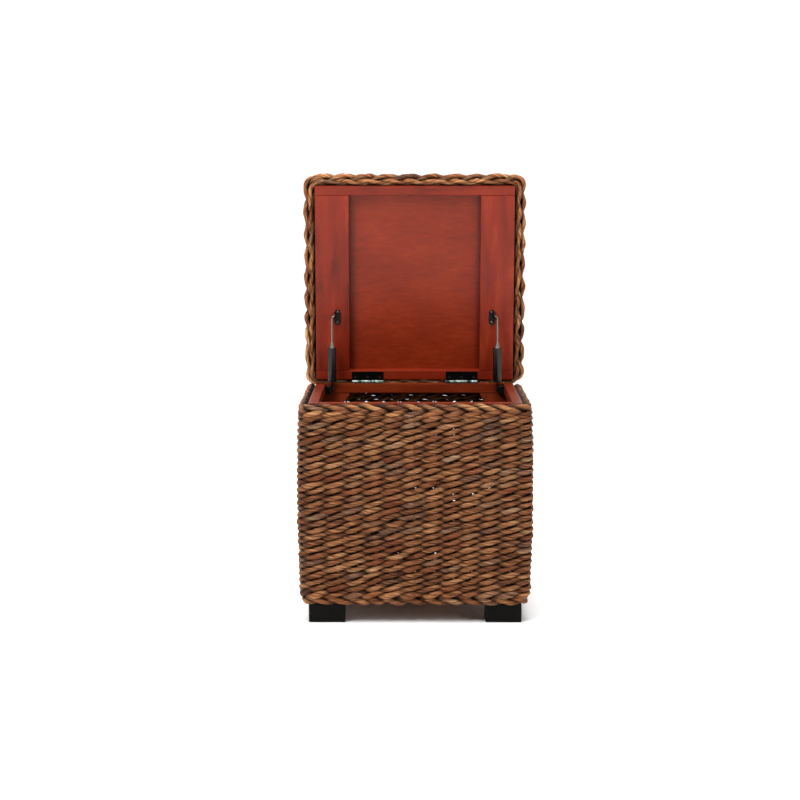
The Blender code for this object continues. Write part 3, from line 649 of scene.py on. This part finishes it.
strands = []
for row, (w, lean, inside, r, swing, lift, shown) in enumerate((
        (0.0092, -1, 0.0162, 0.0046, 0.0030, 0.0034, -2.2),   # against the wood
        (0.0152, 1, 0.0091, 0.0047, 0.0056, 0.0039, -1.5),    # outer arcs
        (0.0240, -1, 0.0104, 0.0048, 0.0046, 0.0036, 0.0),
        (0.0325, 1, 0.0112, 0.0046, 0.0044, 0.0030, 1.0))):
    loop = lid_loop(inside, 0.0215 - 0.5 * inside)
    count = 2 * round(loop.length / LID_STITCH / 2)
    strands += twined_row(loop, count, over_barrels(w, max(0.0, 0.0046 - 0.0023 * row)), lean,
                          r, swing, lift, 80 + row, shown=shown)
piece = rope_piece("braided_lid_edge", strands, LID_ROPE, LID_PLACE)
settle(piece, "lid", "lid_border")

TOP_R, TOP_SWING = 0.0042, 0.0021
rows = round((LID_DEPTH + 0.012) / 0.0125)
strands = []
for row in range(rows):
    y = LID_FRONT - 0.006 + (LID_DEPTH + 0.012) * (row + 0.5) / rows
    half = HALF + 0.010
    count = round(2 * half / STEP)
    for which in (0, 1):
        strand = {"points": [], "radii": [], "closed": False, "twists": 2 * half / TWIST,
                  "proud": [], "stitch": [], "outs": [(0.0, 0.0, 1.0)] * (count + 1)}
        for i in range(count + 1):
            x = -half + 2 * half * i / count
            phase = math.pi * ((x - STITCH_SHIFT) / STITCH + which)
            seed = which * 17.3
            w = 0.0330 + TOP_SWING * math.sin(phase) + 0.0004 * wobble(x, y, 0.05, seed)
            plump = 1 + 0.06 * math.sin(phase) + 0.14 * wobble(x, y, 0.03, seed)
            strand["points"].append(
                (x, y - 0.0034 * math.cos(phase) + 0.0006 * wobble(x, y, 0.05, 2.0), w))
            strand["radii"].append(TOP_R * plump)
            strand["proud"].append(math.sin(phase))
            strand["stitch"].append(math.floor(phase / (2 * math.pi) + 0.25))
        strands.append(strand)
piece = rope_piece("woven_lid_top", strands, BODY_ROPE, LID_PLACE)
settle(piece, "lid", "lid_weave")
bpy.data.objects.remove(SECTION)

# ---- springs inside the stay tubes, coiled to the CAD spring's length and riding the outer tube ---
WIRE_R, TURNS, TURN_POINTS = 0.0006, 9, 20
for side in ("left", "right"):
    low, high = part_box(f"{side}_stay_spring")
    slide = JOINTS[f"{side}_stay_slide"]
    along = Vector(slide["axis"]).normalized()
    across = Vector((1.0, 0.0, 0.0))
    level = along.cross(across)
    coil = (high.x - low.x) / 2 - WIRE_R
    foot = (low + high) / 2
    reach = (high.z - low.z) / (2 * along.z) - WIRE_R
    data = bpy.data.curves.new(f"{side}_coil_line", "CURVE")
    data.dimensions, data.bevel_depth, data.bevel_resolution = "3D", WIRE_R, 2
    data.use_fill_caps = True
    line = data.splines.new("POLY")
    steps = TURNS * TURN_POINTS
    line.points.add(steps)
    for i, point in enumerate(line.points):
        turn = 2 * math.pi * i / TURN_POINTS
        spot = foot + along * reach * (2 * i / steps - 1)
        spot += (across * math.cos(turn) + level * math.sin(turn)) * coil
        point.co = (*spot, 1.0)
    source = bpy.data.objects.new(f"{side}_coil_line", data)
    bpy.context.scene.collection.objects.link(source)
    mesh = bpy.data.meshes.new_from_object(
        source.evaluated_get(bpy.context.evaluated_depsgraph_get()))
    bpy.data.objects.remove(source)
    mesh.materials.clear()
    mesh.materials.append(ROD_STEEL)
    mesh.shade_smooth()
    piece = bpy.data.objects.new(f"{side}_stay_coil", mesh)
    bpy.context.scene.collection.objects.link(piece)
    settle(piece, f"{side}_stay_outer", f"{side}_stay_spring")
    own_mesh(piece)

# ---- floor, light and camera ----------------------------------------------------------
FLOOR_HALF, FLOOR_FRONT, FLOOR_BACK = 7.0, -9.0, 2.4
floor_mesh = bpy.data.meshes.new("studio_floor")
slab = bmesh.new()
bmesh.ops.create_grid(slab, x_segments=1, y_segments=1, size=1.0)
bmesh.ops.scale(slab, vec=(FLOOR_HALF, (FLOOR_BACK - FLOOR_FRONT) / 2, 1.0), verts=slab.verts)
bmesh.ops.translate(slab, vec=(0.0, (FLOOR_BACK + FLOOR_FRONT) / 2, 0.0), verts=slab.verts)
slab.to_mesh(floor_mesh)
slab.free()
floor = bpy.data.objects.new("studio_floor", floor_mesh)
bpy.context.scene.collection.objects.link(floor)
floor_look, tree, principled = finish_material("pale_studio_floor", Roughness=0.9)
principled.inputs["Base Color"].default_value = linear("#FAFAFA")
floor_mesh.materials.append(floor_look)

# white backdrop behind, dim room in front, so flat lacquer and black metal stay deep
world = bpy.data.worlds.new("studio_air")
world.use_nodes = True
tree = world.node_tree
facing = add(tree, "ShaderNodeSeparateXYZ", {},
             {"Vector": add(tree, "ShaderNodeTexCoord").outputs["Generated"]})
glow = add(tree, "ShaderNodeMapRange", {"From Min": -0.15, "From Max": 0.45, "To Min": 0.22,
                                        "To Max": 1.08}, {"Value": facing.outputs["Y"]},
           interpolation_type="SMOOTHSTEP")
tree.links.new(glow.outputs["Result"], tree.nodes["Background"].inputs["Strength"])
tree.nodes["Background"].inputs["Color"].default_value = (1.0, 1.0, 1.0, 1.0)
bpy.context.scene.world = world


def softbox(name, place, target, size, power):
    """A square area light at its place, turned to its target."""
    lamp = bpy.data.lights.new(name, "AREA")
    lamp.shape, lamp.size, lamp.energy = "SQUARE", size, power
    made = bpy.data.objects.new(name, lamp)
    bpy.context.scene.collection.objects.link(made)
    made.location = place
    made.rotation_euler = (Vector(target) - Vector(place)).to_track_quat("-Z", "Y").to_euler()


softbox("overhead_softbox", (-0.3, -1.0, 3.8), (0, 0, 0.3), 2.6, 190)
softbox("rear_softbox", (0.0, 2.6, 3.6), (0, 1.6, 0), 3.0, 130)
softbox("key_softbox", (-2.0, -2.8, 3.2), (0, 0, 0.4), 1.2, 105)
softbox("fill_softbox", (2.8, -3.0, 1.5), (0, 0, 0.4), 1.6, 34)

camera_data = bpy.data.cameras.new("front_camera")
camera_data.lens, camera_data.sensor_width = 101.9, 36.0
camera = bpy.data.objects.new("front_camera", camera_data)
bpy.context.scene.collection.objects.link(camera)
camera.location = (-0.0171, MIDDLE_Y - 4.592, 0.8902)
camera.rotation_euler = (math.pi / 2 - 0.1025, 0.0, 0.0029)
bpy.context.scene.camera = camera
bpy.context.scene.view_settings.view_transform = "Standard"
